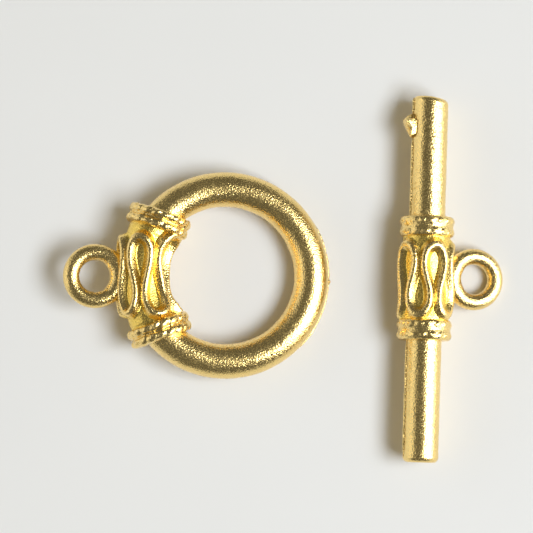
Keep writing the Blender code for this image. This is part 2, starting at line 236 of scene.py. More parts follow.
def new_tree(name, sockets):
    """An empty Geometry Nodes tree with a geometry in and out, and the named inputs."""
    tree = bpy.data.node_groups.new(name, "GeometryNodeTree")
    tree.interface.new_socket("Geometry", in_out="INPUT", socket_type="NodeSocketGeometry")
    for key, kind in sockets.items():
        tree.interface.new_socket(key, in_out="INPUT", socket_type=kind)
    tree.interface.new_socket("Geometry", in_out="OUTPUT", socket_type="NodeSocketGeometry")
    return tree


def end_tree(tree, geometry, material):
    """How every tree ends: smooth shading, real geometry instead of instances, the material."""
    smooth = add_node(tree, "GeometryNodeSetShadeSmooth", {"Geometry": geometry})
    real = add_node(tree, "GeometryNodeRealizeInstances", {
        "Geometry": smooth.outputs["Geometry"]})
    painted = add_node(tree, "GeometryNodeSetMaterial", {
        "Geometry": real.outputs["Geometry"], "Material": material})
    add_node(tree, "NodeGroupOutput", {"Geometry": painted.outputs["Geometry"]})


def run_tree(source, tree, values):
    """Runs a tree on an object and keeps the plain mesh that comes out, in place of its own."""
    modifier = source.modifiers.new(tree.name, "NODES")
    modifier.node_group = tree
    for item in tree.interface.items_tree:
        if item.in_out == "INPUT" and item.name in values:
            modifier[item.identifier] = values[item.name]
    bpy.context.view_layer.update()
    evaluated = source.evaluated_get(bpy.context.evaluated_depsgraph_get())
    mesh = bpy.data.meshes.new_from_object(evaluated)
    source.modifiers.clear()
    source.data = mesh
    return source


# %% The tree that sweeps a wire
def tube_along_path(tree, given):
    """The nodes that sweep a circle along a path, as thick as its points say, with closed ends."""
    line = add_node(tree, "GeometryNodeMeshToCurve", {"Mesh": given["Geometry"]})
    circle = add_node(tree, "GeometryNodeCurvePrimitiveCircle", {
        "Resolution": given["Sides"], "Radius": 1.0})
    thick = add_node(tree, "GeometryNodeInputNamedAttribute", {"Name": "thickness"})
    tube = add_node(tree, "GeometryNodeCurveToMesh", {
        "Curve": line.outputs["Curve"], "Profile Curve": circle.outputs["Curve"],
        "Scale": thick.outputs["Attribute"], "Fill Caps": True})
    return tube.outputs["Mesh"]


sweep_tree = new_tree("sweep_wire", {"Sides": "NodeSocketInt", "Finish": "NodeSocketMaterial"})
given = add_node(sweep_tree, "NodeGroupInput").outputs
end_tree(sweep_tree, tube_along_path(sweep_tree, given), given["Finish"])


def swept_wire(name, points, thickness, sides, closed=False):
    """A wire of changing thickness along a row of points."""
    wire = path_object(name, points, closed, thickness=thickness)
    return run_tree(wire, sweep_tree, {"Sides": sides, "Finish": gold})


print("sweep tree has", len(sweep_tree.nodes), "nodes")

# %% [markdown]
# ## The raised meander
#
# The worked section of both halves is wrapped by one raised line that swings up and down in
# bulbous loops, like a river. Each swing is a curve whose heading turns like a pendulum,
# which is how a river's bends are often drawn. Between the lines the metal falls away in
# sloping walls to a drop-shaped floor. That could be sculpted, but it follows a rule: the
# depth of every spot depends only on how far it is from the line. So the section is swept
# as a plain tube at the height of the line's crest, and Geometry Nodes push each point in
# by its distance from the line, along a small drawn profile: a round wire, then a wall of
# 45 to 70 degrees, then the floor.

# %% The meander's line
LINE_WIDTH = 0.42
LOOP_TURN = math.radians(112)
LOOP_POINTS = 48
SMALL_STEPS = 8


def meander_line(loops, start, length):
    """Angle round and distance along for each point of the raised line.

    One loop is walked in small steps, and one place in every eight is kept as a point.
    """
    across = 0.0
    rise = 0.0
    places = []
    count = LOOP_POINTS * SMALL_STEPS
    for small in range(count):
        if small % SMALL_STEPS == 0:
            places.append((across, rise))
        heading = LOOP_TURN * math.cos(math.tau * (small + 0.5) / count)
        across += math.cos(heading)
        rise += math.sin(heading)
    heights = [place[1] for place in places]
    middle = (max(heights) + min(heights)) / 2
    crest = places[heights.index(max(heights))][0]
    along_scale = (length - LINE_WIDTH) / (max(heights) - min(heights))
    round_scale = math.tau / loops / across
    line_points = []
    for loop in range(loops):
        for place, height in places:
            angle = (place - crest) * round_scale + loop * math.tau / loops + start
            line_points.append((angle, (height - middle) * along_scale))
    return line_points


print("one loop has", LOOP_POINTS, "points and turns", round(math.degrees(LOOP_TURN)),
      "degrees each way")

# %% The tree that lets the metal fall away beside the line
WALL_REACH = 0.50
# how far from the line, as a share of the wall's reach, and the share of the full depth there
WALL_PROFILE = (
    (0.22, 0.05), (0.34, 0.13), (0.42, 0.23), (0.46, 0.34),
    (0.50, 0.43), (0.58, 0.52), (0.74, 0.78), (0.88, 0.95))
# between which shares of the wall's reach a point becomes a hollow, with its duller gloss
# and its painted bounce light
HOLLOW_SPAN = (0.42, 0.8)

carve_tree = new_tree("meander_relief", {
    "Line": "NodeSocketObject", "Sides": "NodeSocketInt", "Wall reach": "NodeSocketFloat",
    "Finish": "NodeSocketMaterial"})
given = add_node(carve_tree, "NodeGroupInput").outputs
tube = tube_along_path(carve_tree, given)
crest_line = add_node(carve_tree, "GeometryNodeObjectInfo", {"Object": given["Line"]})
nearest = add_node(carve_tree, "GeometryNodeProximity", {
    0: crest_line.outputs["Geometry"]}, target_element="EDGES")
share = add_node(carve_tree, "ShaderNodeMath", {
    0: nearest.outputs["Distance"], 1: given["Wall reach"]}, operation="DIVIDE", use_clamp=True)
profile = add_node(carve_tree, "ShaderNodeFloatCurve", {"Value": share.outputs[0]})
drop = profile.mapping.curves[0]
drop.points[0].location = (0.0, 0.0)
drop.points[1].location = (1.0, 1.0)
for reach, sunk in WALL_PROFILE:
    drop.points.new(reach, sunk)
profile.mapping.update()
depth = add_node(carve_tree, "GeometryNodeInputNamedAttribute", {"Name": "depth"})
fall = add_node(carve_tree, "ShaderNodeMath", {
    0: profile.outputs[0], 1: depth.outputs["Attribute"]}, operation="MULTIPLY")
outward = add_node(carve_tree, "GeometryNodeInputNormal")
pushed_out = add_node(carve_tree, "ShaderNodeVectorMath", {
    0: outward.outputs["Normal"], "Scale": fall.outputs[0]}, operation="SCALE")
pushed_in = add_node(carve_tree, "ShaderNodeVectorMath", {
    0: pushed_out.outputs[0], "Scale": -1.0}, operation="SCALE")
# how deep in a hollow each point lies, for a duller gloss and a painted bounce light
hollow = add_node(carve_tree, "ShaderNodeMapRange", {
    "Value": share.outputs[0], "From Min": HOLLOW_SPAN[0], "From Max": HOLLOW_SPAN[1]})
marked = add_node(carve_tree, "GeometryNodeStoreNamedAttribute", {
    "Geometry": tube, "Name": "recess", "Value": hollow.outputs["Result"]})
carved = add_node(carve_tree, "GeometryNodeSetPosition", {
    "Geometry": marked.outputs["Geometry"], "Offset": pushed_in.outputs[0]})
end_tree(carve_tree, carved.outputs["Geometry"], given["Finish"])
print("relief tree has", len(carve_tree.nodes), "nodes")

# %% A worked section
SECTION_SIDES = 256


def worked_section(name, stations, line_points):
    """A section with the meander raised on it.

    A station is a centre, the crest's radius there and the floor's depth below the crest.
    """
    line_object = path_object(name + "_line", line_points, closed=True)
    centres = [station[0] for station in stations]
    radii = [station[1] for station in stations]
    depths = [station[2] for station in stations]
    section = path_object(name, centres, thickness=radii, depth=depths)
    run_tree(section, carve_tree, {
        "Line": line_object, "Sides": SECTION_SIDES, "Wall reach": WALL_REACH, "Finish": gold})
    bpy.data.objects.remove(line_object)
    return section


print("a section has", SECTION_SIDES, "sides")

# %% [markdown]
# ## Rope collars
#
# A collar is two twisted cords side by side round the wire. What the eye sees of a twisted
# cord is a row of slanted, overlapping beads, so one bead is placed again and again round a
# circle, leaning to one side. This is what instances are for. On the real clasp tumbling has
# worn the ropes down until the beads are only patches on two soft ridges, and no two are
# alike, so each bead gets its own size and lean from a fixed seed.

# %% The tree that ropes a collar
# how far round the second cord's beads sit from the first's, in radians
CORD_STAGGER = 0.13

rope_tree = new_tree("rope_collar", {
    "Beads": "NodeSocketInt", "Cord radius": "NodeSocketFloat",
    "Cord spacing": "NodeSocketFloat", "Lean": "NodeSocketFloat",
    "Bead size": "NodeSocketVector", "Seed": "NodeSocketInt", "Finish": "NodeSocketMaterial"})
given = add_node(rope_tree, "NodeGroupInput").outputs
round_line = add_node(rope_tree, "GeometryNodeCurvePrimitiveCircle", {
    "Resolution": given["Beads"], "Radius": given["Cord radius"]})
half_spacing = add_node(rope_tree, "ShaderNodeMath", {
    0: given["Cord spacing"], 1: 0.5}, operation="MULTIPLY")
up = add_node(rope_tree, "ShaderNodeCombineXYZ", {"Z": half_spacing.outputs[0]})
down = add_node(rope_tree, "ShaderNodeVectorMath", {
    0: up.outputs["Vector"], "Scale": -1.0}, operation="SCALE")
upper = add_node(rope_tree, "GeometryNodeTransform", {
    "Geometry": round_line.outputs["Curve"], "Translation": up.outputs["Vector"]})
lower = add_node(rope_tree, "GeometryNodeTransform", {
    "Geometry": round_line.outputs["Curve"], "Translation": down.outputs[0],
    "Rotation": (0.0, 0.0, CORD_STAGGER)})
both = add_node(rope_tree, "GeometryNodeJoinGeometry")
rope_tree.links.new(upper.outputs["Geometry"], both.inputs[0])
rope_tree.links.new(lower.outputs["Geometry"], both.inputs[0])
print("the two cords take", len(rope_tree.nodes), "nodes")

# %% The beads of a rope
BEAD_SEGMENTS = 16
BEAD_RINGS = 10
# the least and the most that a bead leans, as shares of the usual lean
LEAN_RANGE = (0.4, 1.6)
# the smallest and the largest bead, as shares of the usual depth, length and width
SMALLEST_BEAD = (0.94, 0.72, 0.78)
LARGEST_BEAD = (1.03, 1.2, 1.12)

here = add_node(rope_tree, "GeometryNodeInputPosition")
parts = add_node(rope_tree, "ShaderNodeSeparateXYZ", {"Vector": here.outputs["Position"]})
angle = add_node(rope_tree, "ShaderNodeMath", {
    0: parts.outputs["Y"], 1: parts.outputs["X"]}, operation="ARCTAN2")
uneven_lean = add_node(rope_tree, "FunctionNodeRandomValue", {
    2: LEAN_RANGE[0], 3: LEAN_RANGE[1], "Seed": given["Seed"]}, data_type="FLOAT")
lean = add_node(rope_tree, "ShaderNodeMath", {
    0: given["Lean"], 1: uneven_lean.outputs[1]}, operation="MULTIPLY")
turn = add_node(rope_tree, "ShaderNodeCombineXYZ", {
    "X": lean.outputs[0], "Z": angle.outputs[0]})
uneven_size = add_node(rope_tree, "FunctionNodeRandomValue", {
    0: SMALLEST_BEAD, 1: LARGEST_BEAD, "Seed": given["Seed"]}, data_type="FLOAT_VECTOR")
size = add_node(rope_tree, "ShaderNodeVectorMath", {
    0: given["Bead size"], 1: uneven_size.outputs[0]}, operation="MULTIPLY")
bead = add_node(rope_tree, "GeometryNodeMeshUVSphere", {
    "Segments": BEAD_SEGMENTS, "Rings": BEAD_RINGS, "Radius": 1.0})
row = add_node(rope_tree, "GeometryNodeInstanceOnPoints", {
    "Points": both.outputs["Geometry"], "Instance": bead.outputs["Mesh"],
    "Rotation": turn.outputs["Vector"], "Scale": size.outputs[0]})
end_tree(rope_tree, row.outputs["Instances"], given["Finish"])
print("rope tree has", len(rope_tree.nodes), "nodes")

# %% Two roped cords
ROPE_BEADS = 18
ROPE_LEAN = math.radians(20)
# half a bead's depth and width and the cords' spacing, as shares of the collar's width
BEAD_DEPTH = 0.19
BEAD_WIDTH = 0.205
CORD_SPACING = 0.52
# half a bead's length, as a share of the room for one bead
BEAD_LENGTH = 0.60


def rope_collar(name, centre, axis, diameter, width, seed):
    """Two roped cords round an axis."""
    holder = add_object(name, bpy.data.meshes.new(name))
    bead_room = math.pi * diameter / ROPE_BEADS
    half_sizes = Vector((width * BEAD_DEPTH, bead_room * BEAD_LENGTH, width * BEAD_WIDTH))
    run_tree(holder, rope_tree, {
        "Beads": ROPE_BEADS, "Cord radius": diameter / 2 - half_sizes.x,
        "Cord spacing": width * CORD_SPACING, "Lean": ROPE_LEAN, "Bead size": half_sizes,
        "Seed": seed, "Finish": gold})
    sideways = Vector((0, 0, 1)).cross(axis)
    place = Matrix((sideways, axis.cross(sideways), axis)).transposed().to_4x4()
    holder.data.transform(Matrix.Translation(centre) @ place)
    return holder


print("each cord has", ROPE_BEADS, "beads")

# %% [markdown]
# ## Fusing a collar
#
# A casting is poured in one go, so where a collar's beads meet the band under them there are
# soft little fillets. A Boolean would leave hard lines there. A voxel remesh wraps one new
# skin round everything that overlaps, and two rounds of smoothing then melt the joints and
# take the steps out of the skin. The voxel is just finer than one picture point. Only the
# collars are fused. The sections, the hoop, the eyes and the bar's ends just run into each
# other, and the corners where they meet stay sharp.

# %% Fuse
VOXEL = 0.05
FILLET_STRENGTH = 0.5
FILLET_ROUNDS = 2


def fuse_casting(name, parts):
    """One closed skin round parts that overlap."""
    work = bmesh.new()
    for part in parts:
        work.from_mesh(part.data)
        bpy.data.objects.remove(part)
    mesh = bpy.data.meshes.new(name)
    work.to_mesh(mesh)
    work.free()
    casting = add_object(name, mesh)
    remesh = casting.modifiers.new("skin", "REMESH")
    remesh.mode = "VOXEL"
    remesh.voxel_size = VOXEL
    remesh.use_smooth_shade = True
    smooth = casting.modifiers.new("fillets", "SMOOTH")
    smooth.factor = FILLET_STRENGTH
    smooth.iterations = FILLET_ROUNDS
    evaluated = casting.evaluated_get(bpy.context.evaluated_depsgraph_get())
    casting.data = bpy.data.meshes.new_from_object(evaluated)
    casting.modifiers.clear()
    triangles = sum(len(face.vertices) - 2 for face in casting.data.polygons)
    print(name, "has", triangles, "triangles")
    return casting


# %% A whole collar
# the ridges' crests and the way from there to the edge, as shares of the collar's width
RIDGE_PLACE = 0.26
RIDGE_TO_EDGE = 0.24
BAND_STEPS = 40
BAND_SIDES = 96


def collar(name, centre, axis, diameter, width, shape, seed):
    """A band with two soft ridges and worn beads on them, fused into one skin.

    shape holds how far the beads stand proud of the ridges, how deep the groove between
    the ridges is and how far the ridges fall at the collar's edges.
    """
    relief, groove, edge = shape
    rope = rope_collar(name + "_rope", centre, axis, diameter, width, seed)
    places = []
    radii = []
    for step in range(BAND_STEPS + 1):
        share = step / BAND_STEPS - 0.5
        across = (abs(share) - RIDGE_PLACE) / RIDGE_TO_EDGE
        fall = groove * across ** 2 if across < 0 else edge * across ** 4
        places.append(centre + axis * (width * share))
        radii.append(diameter / 2 - relief - fall)
    band = swept_wire(name + "_band", places, radii, BAND_SIDES)
    return fuse_casting(name, [rope, band])


# %% [markdown]
# ## The ring half
#
# The loop of the ring half is a round hoop for most of the way. Between its two collars it
# becomes a thicker, waisted section that bows outwards and carries a meander of five loops.
# The section bends but the loops do not: they were cut straight up and down, so each point
# of the line is looked for straight out from the section's middle. Both halves have the CAD
# model's outer sizes, in millimetres. The fine relief is this model's own: the depth of the
# hollows, the beads, the flash and the stub.

# %% The ring's bowed axis
HOOP_RADIUS = 5.38
COLLAR_REACH = math.radians(39.4)
SECTION_BOW = 1.03
BOW_POWER = 2.7

collar_x = -HOOP_RADIUS * math.cos(COLLAR_REACH)
collar_y = HOOP_RADIUS * math.sin(COLLAR_REACH)
section_middle_x = collar_x - SECTION_BOW


def section_shift(along):
    """How far the section's axis has come back from its bowed middle."""
    return SECTION_BOW * (abs(along) / collar_y) ** BOW_POWER


def ring_section_place(along):
    """The bowed axis: its centre and the direction away from the hoop's middle."""
    steepness = BOW_POWER * section_shift(along) / max(abs(along), LINE_WIDTH)
    forward = Vector((math.copysign(steepness, along), 1, 0)).normalized()
    centre = Vector((section_middle_x + section_shift(along), along, 0))
    return centre, Vector((-forward.y, forward.x, 0))


print("the ring's section is", round(2 * collar_y, 2), "mm long between its collars")

# %% The ring's crest and floor
RING_MEANDER_LENGTH = 5.20
RING_WAIST_RADIUS = 1.71
RING_FLARE_RADIUS = 1.94
RING_NECK_RADIUS = 1.43
RING_FLOOR_DEPTH = 0.50


def share_of_half(along, length):
    """How far out a place is: 0 in the middle of a length and 1 from its end on."""
    return min(1.0, abs(along) / (length / 2))


def floor_radius(along, length, lowest, neck):
    """Radius of the floor between the lines, which rises from its lowest to the neck."""
    return lowest + (neck - lowest) * share_of_half(along, length) ** 2


def ring_crest(along):
    """Radius of the meander's crest: a waist in the middle and a flare at both ends."""
    share = share_of_half(along, RING_MEANDER_LENGTH)
    return RING_WAIST_RADIUS + (RING_FLARE_RADIUS - RING_WAIST_RADIUS) * share ** 2


def ring_floor(along):
    """Radius of the floor between the ring's lines."""
    lowest = RING_WAIST_RADIUS - RING_FLOOR_DEPTH
    return floor_radius(along, RING_MEANDER_LENGTH, lowest, RING_NECK_RADIUS)


print("at the waist the crest is", ring_crest(0), "mm and the floor", round(ring_floor(0), 2),
      "mm from the axis")

# %% The ring's worked section
RING_LOOPS = 5
RING_LOOP_START = math.radians(-10)
SECTION_STEPS = 80
PLACING_ROUNDS = 12


def ring_line_point(angle, along):
    """A point of the raised line. The loops stay upright on the bowed section."""
    across = RING_WAIST_RADIUS * math.sin(angle) - section_shift(along)
    turned = math.atan2(across, RING_WAIST_RADIUS * math.cos(angle))
    station = along
    for _ in range(PLACING_ROUNDS):
        _, outward = ring_section_place(station)
        station = along + ring_crest(station) * math.sin(turned) * outward.y
    centre, outward = ring_section_place(station)
    radial = outward * -math.sin(turned) + Vector((0, 0, math.cos(turned)))
    return centre + radial * ring_crest(station)


stations = []
for step in range(2 * SECTION_STEPS + 1):
    along = collar_y * (step / SECTION_STEPS - 1)
    centre, _ = ring_section_place(along)
    stations.append((centre, ring_crest(along), ring_crest(along) - ring_floor(along)))
ring_loops = meander_line(RING_LOOPS, RING_LOOP_START, RING_MEANDER_LENGTH)
ring_line = [ring_line_point(angle, along) for angle, along in ring_loops]
ring_section = worked_section("ring_section", stations, ring_line)
print("the ring's line has", len(ring_line), "points in", RING_LOOPS, "loops")

# %% An eye
EYE_STEPS = 120
EYE_SIDES = 48
# the wire swells by this share at its foot. The swelling ends FOOT_REACH away from there
# and takes FOOT_EASE to grow to the full.
FOOT_SWELL = 0.16
FOOT_REACH = math.radians(62)
FOOT_EASE = math.radians(34)


def eased(value, low, high):
    """0 below low, 1 above high, eased between."""
    share = min(1.0, max(0.0, (value - low) / (high - low)))
    return share * share * (3 - 2 * share)


def eye_ring(name, centre, radius, wire, foot_angle):
    """A round eye whose wire thickens a little where it grows out of the section."""
    places = []
    thickness = []
    for step in range(EYE_STEPS):
        angle = math.tau * step / EYE_STEPS
        places.append(centre + Vector((math.cos(angle), math.sin(angle), 0)) * radius)
        apart = abs((angle - foot_angle + math.pi) % math.tau - math.pi)
        thickness.append(wire * (1 + FOOT_SWELL * eased(FOOT_REACH - apart, 0, FOOT_EASE)))
    return swept_wire(name, places, thickness, EYE_SIDES, closed=True)


# %% The ring's collars and eye
RING_COLLAR_DIAMETER = 4.04
RING_COLLAR_WIDTH = 1.20
RING_COLLAR_LEAN = math.radians(20)
RING_COLLAR_SHAPE = (0.085, 0.15, 0.34)
RING_ROPE_SEED = 3
RING_EYE_RADIUS = 1.4925
RING_EYE_WIRE = 0.5075
RING_EYE_OVERLAP = 0.76

ring_pieces = [ring_section]
for side in (-1, 1):
    centre = Vector((collar_x, side * collar_y, 0))
    axis = Vector((side * math.sin(RING_COLLAR_LEAN), math.cos(RING_COLLAR_LEAN), 0))
    name = "ring_collar_north" if side > 0 else "ring_collar_south"
    ring_pieces.append(collar(name, centre, axis, RING_COLLAR_DIAMETER, RING_COLLAR_WIDTH,
                              RING_COLLAR_SHAPE, RING_ROPE_SEED + side))
waist_x = section_middle_x - RING_WAIST_RADIUS
eye_centre = Vector((waist_x - RING_EYE_RADIUS - RING_EYE_WIRE + RING_EYE_OVERLAP, 0, 0))
ring_pieces.append(eye_ring("ring_eye", eye_centre, RING_EYE_RADIUS, RING_EYE_WIRE, 0))
print("the ring's eye has a hole of", round(2 * (RING_EYE_RADIUS - RING_EYE_WIRE), 2), "mm")

# %% [markdown]
# ## The hoop and its flash
#
# The hoop is the plainest part, and that is where a computer's perfect circle shows. A cast
# wire is never quite even, so its thickness swells and shrinks by a few hundredths of a
# millimetre. Where the two halves of the mould met, a hair-thin line of flash is left on part
# of the outside. It is uneven, fades at both ends and has one small pip.

# %% The hoop
HOOP_WIRE_RADIUS = 1.085
WIRE_SWELL = 0.012
WIRE_SIDES = 72
HOOP_STEPS = 180


def waver(angle, phase):
    """A slow, uneven swing between -1 and 1. Each phase gives another one, the same every time."""
    slow = math.sin(3 * angle + phase)
    middling = math.sin(7 * angle + 2.3 * phase)
    quick = math.sin(16 * angle + 4.1 * phase)
    return (slow + middling + quick) / 3


places = []
thickness = []
hoop_start = math.pi - COLLAR_REACH
for step in range(2 * HOOP_STEPS + 1):
    angle = hoop_start * (1 - step / HOOP_STEPS)
    radius = HOOP_RADIUS + WIRE_SWELL * waver(angle, 1.0)
    places.append(Vector((math.cos(angle), math.sin(angle), 0)) * radius)
    thickness.append(HOOP_WIRE_RADIUS + WIRE_SWELL * waver(angle, 2.0))
ring_pieces.append(swept_wire("ring_hoop", places, thickness, WIRE_SIDES))
print("the hoop is", round(2 * hoop_start * HOOP_RADIUS, 1), "mm of wire")

# %% The hoop's flash
FLASH_THINNEST = 0.02
FLASH_SIDES = 12
# a line of flash takes an eighth of its length to reach its thickness
FLASH_FADE = 8
# a line of flash has a thickness and an unevenness, in millimetres
HOOP_FLASH = (0.055, 0.022)
HOOP_FLASH_STEPS = 160
HOOP_FLASH_SINK = 0.01
# where the flash starts, how far it reaches and where its pip is, in degrees
HOOP_FLASH_START = -46
HOOP_FLASH_REACH = 78
PIP_ANGLE = -4
PIP_WIDTH = 1.1
PIP_HEIGHT = 0.10


def flash_thickness(share, line, swing):
    """Thickness of a line of flash, which fades at both ends and is uneven between."""
    usual, unevenness = line
    fade = min(1.0, FLASH_FADE * share, FLASH_FADE * (1 - share))
    return FLASH_THINNEST + fade * (usual + unevenness * swing)


places = []
thickness = []
flash_radius = HOOP_RADIUS + HOOP_WIRE_RADIUS - HOOP_FLASH_SINK
for step in range(HOOP_FLASH_STEPS + 1):
    share = step / HOOP_FLASH_STEPS
    angle = math.radians(HOOP_FLASH_START + HOOP_FLASH_REACH * share)
    places.append(Vector((math.cos(angle), math.sin(angle), 0)) * flash_radius)
    pip = PIP_HEIGHT * math.exp(-((math.degrees(angle) - PIP_ANGLE) / PIP_WIDTH) ** 2)
    thickness.append(flash_thickness(share, HOOP_FLASH, waver(6 * angle, 0.6)) + pip)
ring_pieces.append(swept_wire("ring_flash", places, thickness, FLASH_SIDES))
print("the flash reaches over", HOOP_FLASH_REACH, "degrees of the hoop")

# %% [markdown]
# ## The bar half
#
# The bar half is a straight round bar with the same kind of section at its middle, this
# time without a bow, and an eye on one side. It rests on its section, rolled over until the
# eye touches the table as well.

# %% The bar's worked section
BAR_RADIUS = 1.11
BAR_CREST_RADIUS = 1.83
BAR_CREST_DROP = 0.06
BAR_NECK_RADIUS = 1.48
BAR_FLOOR_DEPTH = 0.46
BAR_MEANDER_LENGTH = 4.80
BAR_MEANDER_SHIFT = -0.12
BAR_LOOPS = 5
BAR_LOOP_START = math.radians(1.5)
BAR_COLLAR_SPACING = 6.44


def bar_crest(along):
    """Radius of the meander's crest on the bar, eased down at both ends."""
    return BAR_CREST_RADIUS - BAR_CREST_DROP * share_of_half(along, BAR_MEANDER_LENGTH) ** 4


def bar_floor(along):
    """Radius of the floor between the lines on the bar."""
    lowest = BAR_CREST_RADIUS - BAR_FLOOR_DEPTH
    return floor_radius(along, BAR_MEANDER_LENGTH, lowest, BAR_NECK_RADIUS)


stations = []
for step in range(2 * SECTION_STEPS + 1):
    along = BAR_COLLAR_SPACING / 2 * (step / SECTION_STEPS - 1)
    centre = Vector((0, along, 0))
    stations.append((centre, bar_crest(along), bar_crest(along) - bar_floor(along)))
bar_line = []
for angle, along in meander_line(BAR_LOOPS, BAR_LOOP_START, BAR_MEANDER_LENGTH):
    along += BAR_MEANDER_SHIFT
    radial = Vector((math.sin(angle), 0, math.cos(angle)))
    bar_line.append(radial * bar_crest(along) + Vector((0, along, 0)))
bar_section = worked_section("bar_section", stations, bar_line)
print("the bar's section is", BAR_COLLAR_SPACING, "mm long between its collars")

# %% The bar's collars and eye
BAR_COLLAR_DIAMETER = 3.47
BAR_COLLAR_WIDTH = 1.28
BAR_COLLAR_SHAPE = (0.055, 0.05, 0.16)
BAR_ROPE_SEED = 7
BAR_EYE_RADIUS = 1.4325
BAR_EYE_WIRE = 0.495
BAR_EYE_REACH = 3.18
BAR_EYE_SHIFT = 0.10

bar_pieces = [bar_section]
for side in (-1, 1):
    centre = Vector((0, side * BAR_COLLAR_SPACING / 2, 0))
    name = "bar_collar_north" if side > 0 else "bar_collar_south"
    bar_pieces.append(collar(name, centre, Vector((0, 1, 0)), BAR_COLLAR_DIAMETER,
                             BAR_COLLAR_WIDTH, BAR_COLLAR_SHAPE, BAR_ROPE_SEED + side))
eye_centre = Vector((BAR_EYE_REACH, BAR_EYE_SHIFT, 0))
bar_pieces.append(eye_ring("bar_eye", eye_centre, BAR_EYE_RADIUS, BAR_EYE_WIRE, math.pi))
print("the bar's eye has a hole of", round(2 * (BAR_EYE_RADIUS - BAR_EYE_WIRE), 2), "mm")

# %% The bar's two ends
BAR_LENGTH = 22.90
BAR_END_ROUND = 0.32
BAR_END_SLANT = math.radians(7)
# how far out an end begins, inside its collar, and how far out the slant begins to grow
BAR_END_START = 2.9
BAR_SLANT_START = 4.1
BAR_END_STEPS = 90
ROUND_STEPS = 8
# the flat face is three smaller rings, all a hair beyond the rounding's last one
FACE_RINGS = (0.75, 0.5, 0.25)
FACE_STEP = 0.0001


def bar_end(name, side):
    """One plain end of the bar, from inside its collar to its rounded, flat tip."""
    reach = BAR_LENGTH / 2 - BAR_END_ROUND - BAR_END_START
    alongs = [BAR_END_START + reach * step / BAR_END_STEPS for step in range(BAR_END_STEPS + 1)]
    radii = [BAR_RADIUS + WIRE_SWELL * waver(along, 0.4 + side) for along in alongs]
    for step in range(1, ROUND_STEPS + 1):
        turn = math.pi / 2 * step / ROUND_STEPS
        alongs.append(BAR_LENGTH / 2 - BAR_END_ROUND + BAR_END_ROUND * math.sin(turn))
        radii.append(BAR_RADIUS - BAR_END_ROUND + BAR_END_ROUND * math.cos(turn))
    for share in FACE_RINGS:
        alongs.append(BAR_LENGTH / 2 + FACE_STEP)
        radii.append((BAR_RADIUS - BAR_END_ROUND) * share)
    points = [Vector((0, side * along, 0)) for along in alongs]
    return swept_wire(name, points, radii, WIRE_SIDES)


def slant_end(end):
    """Shears the tip back on the eye's side, as if the bar had been cut at an angle."""
    for vertex in end.data.vertices:
        grown = eased(vertex.co.y, BAR_SLANT_START, BAR_LENGTH / 2 - BAR_END_ROUND)
        slant = math.tan(BAR_END_SLANT) * grown
        vertex.co.y -= (vertex.co.x + BAR_RADIUS) * slant
    return end


bar_pieces.append(slant_end(bar_end("bar_end_north", 1)))
bar_pieces.append(bar_end("bar_end_south", -1))
collar_end = (BAR_COLLAR_SPACING + BAR_COLLAR_WIDTH) / 2
print("each plain end is", round(BAR_LENGTH / 2 - collar_end, 1), "mm long outside its collar")

# %% The bar's flash
BAR_FLASH = (0.06, 0.018)
BAR_FLASH_STEPS = 80
BAR_FLASH_LIFT = 0.02
# each line: its name, its side of the bar's middle, and its start and end along the bar
BAR_FLASH_LINES = (
    ("bar_flash_north", 1, 3.7, 8.9),
    ("bar_flash_tip", 1, 10.3, BAR_LENGTH / 2 - 0.18),
    ("bar_flash_south", -1, 3.7, BAR_LENGTH / 2 - BAR_END_ROUND))


def bar_flash(name, side, start, end):
    """A line of flash along one end of the bar, on the side away from the eye."""
    places = []
    thickness = []
    for step in range(BAR_FLASH_STEPS + 1):
        share = step / BAR_FLASH_STEPS
        along = start + (end - start) * share
        places.append(Vector((-(BAR_RADIUS + BAR_FLASH_LIFT), side * along, 0)))
        thickness.append(flash_thickness(share, BAR_FLASH, waver(along * 2, 1.7 + side)))
    return swept_wire(name, places, thickness, FLASH_SIDES)


bar_pieces += [bar_flash(*line) for line in BAR_FLASH_LINES]
print("the bar has", len(BAR_FLASH_LINES), "lines of flash")

# %% [markdown]
# ## The sprue stub
#
# Metal ran into the mould through a channel that was broken off afterwards. What is left is
# a small rough stub with flat, bright faces where it snapped. A convex hull round a few
# uneven points makes just such faces, and a small bevel takes the knife edge off them.

# %% The stub
STUB_PLACE = 9.60
STUB_UNEVENNESS = 0.10
STUB_BEVEL = 0.025
# how far each layer's points are turned and its unevenness is moved on, for each mm of height
STUB_TWIST = 5
STUB_SHUFFLE = 9
# each layer: height over the bar, half its length, half its depth, its shift and its points
STUB_LAYERS = (
    (-0.25, 0.80, 0.40, -0.06, 9),
    (0.20, 0.78, 0.44, -0.08, 9),
    (0.42, 0.50, 0.46, 0.06, 7),
    (0.58, 0.20, 0.41, 0.18, 5))


def sprue_stub():
    """The broken stub: a hull round points in four rough layers."""
    work = bmesh.new()
    for height, half_length, half_depth, shift, count in STUB_LAYERS:
        for number in range(count):
            angle = math.tau * number / count + height * STUB_TWIST
            uneven = 1 + STUB_UNEVENNESS * waver(angle + height * STUB_SHUFFLE, 0.8)
            work.verts.new((-(BAR_RADIUS + height),
                            STUB_PLACE + shift + half_length * uneven * math.cos(angle),
                            half_depth * uneven * math.sin(angle)))
    bmesh.ops.convex_hull(work, input=work.verts)
    loose = [vertex for vertex in work.verts if not vertex.link_faces]
    bmesh.ops.delete(work, geom=loose, context="VERTS")
    bmesh.ops.recalc_face_normals(work, faces=work.faces)
    bmesh.ops.bevel(work, geom=work.edges[:], offset=STUB_BEVEL, segments=1, affect="EDGES")
    mesh = bpy.data.meshes.new("bar_stub")
    work.to_mesh(mesh)
    work.free()
    return add_object("bar_stub", mesh)


bar_pieces.append(sprue_stub())
print("the stub has", len(bar_pieces[-1].data.polygons), "faces")

